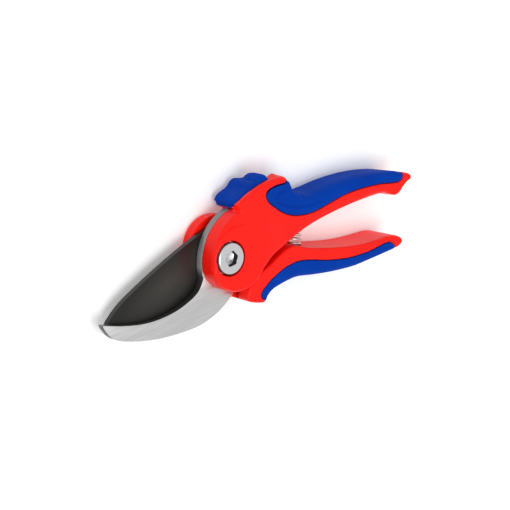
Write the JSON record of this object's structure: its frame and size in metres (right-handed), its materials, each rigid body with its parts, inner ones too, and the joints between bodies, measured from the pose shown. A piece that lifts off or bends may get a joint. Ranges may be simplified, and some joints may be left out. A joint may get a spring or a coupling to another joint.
{
  "type": "pruning shears",
  "caption": "Hand pruning shears with a bypass blade on a hooked jaw, soft overmoulded handles, a coil return spring and a sliding lock.",
  "frame": {"origin": "on the pivot's axis, in the plane of the flat backs of the handles", "axes": "+X from the blades to the handles, +Y towards the upper handle, +Z towards the front"},
  "size_m": [0.2023, 0.0712, 0.0252],
  "materials": {
    "red_shell": "satin moulded",
    "blue_grip": "soft moulded",
    "satin_steel": "satin",
    "blade_coating": "thin dark non-stick coating",
    "bolt_chrome": "polished",
    "nylon": "matte"
  },
  "bodies": {
    "upper_handle": {"upper_handle": "red_shell", "upper_grip": "blue_grip", "hook_blade": "satin_steel", "hook_screw_1": "satin_steel", "hook_screw_2": "satin_steel", "pivot_bolt": "bolt_chrome", "bolt_washer": "satin_steel", "pivot_bushing": "satin_steel", "disc_spring": "satin_steel", "pivot_nut": "satin_steel", "nut_insert": "nylon", "return_spring": "satin_steel", "upper_spring_seat": "red_shell"},
    "lower_handle": {"lower_handle": "red_shell", "lower_grip": "blue_grip", "cutting_blade": "blade_coating", "blade_screw_1": "satin_steel", "blade_screw_2": "satin_steel", "blade_washer": "nylon", "lower_spring_seat": "red_shell"},
    "lock": {"lock_slider": "blue_grip", "lock_latch": "satin_steel", "latch_rivet": "satin_steel"}
  },
  "joints": [
    {"name": "blade_pivot", "type": "hinge", "parent": "upper_handle", "child": "lower_handle", "pos_m": [0, 0, 0], "axis": [0, 0, -1], "range_deg": [0, 28], "stiffness_Nm_per_rad": 0.2, "springref_deg": 34.38, "deforming": ["return_spring"]},
    {"name": "lock_slide", "type": "slide", "parent": "upper_handle", "child": "lock", "axis": [0.9877, 0.1564, 0], "range_m": [0, 0.006]}
  ]
}
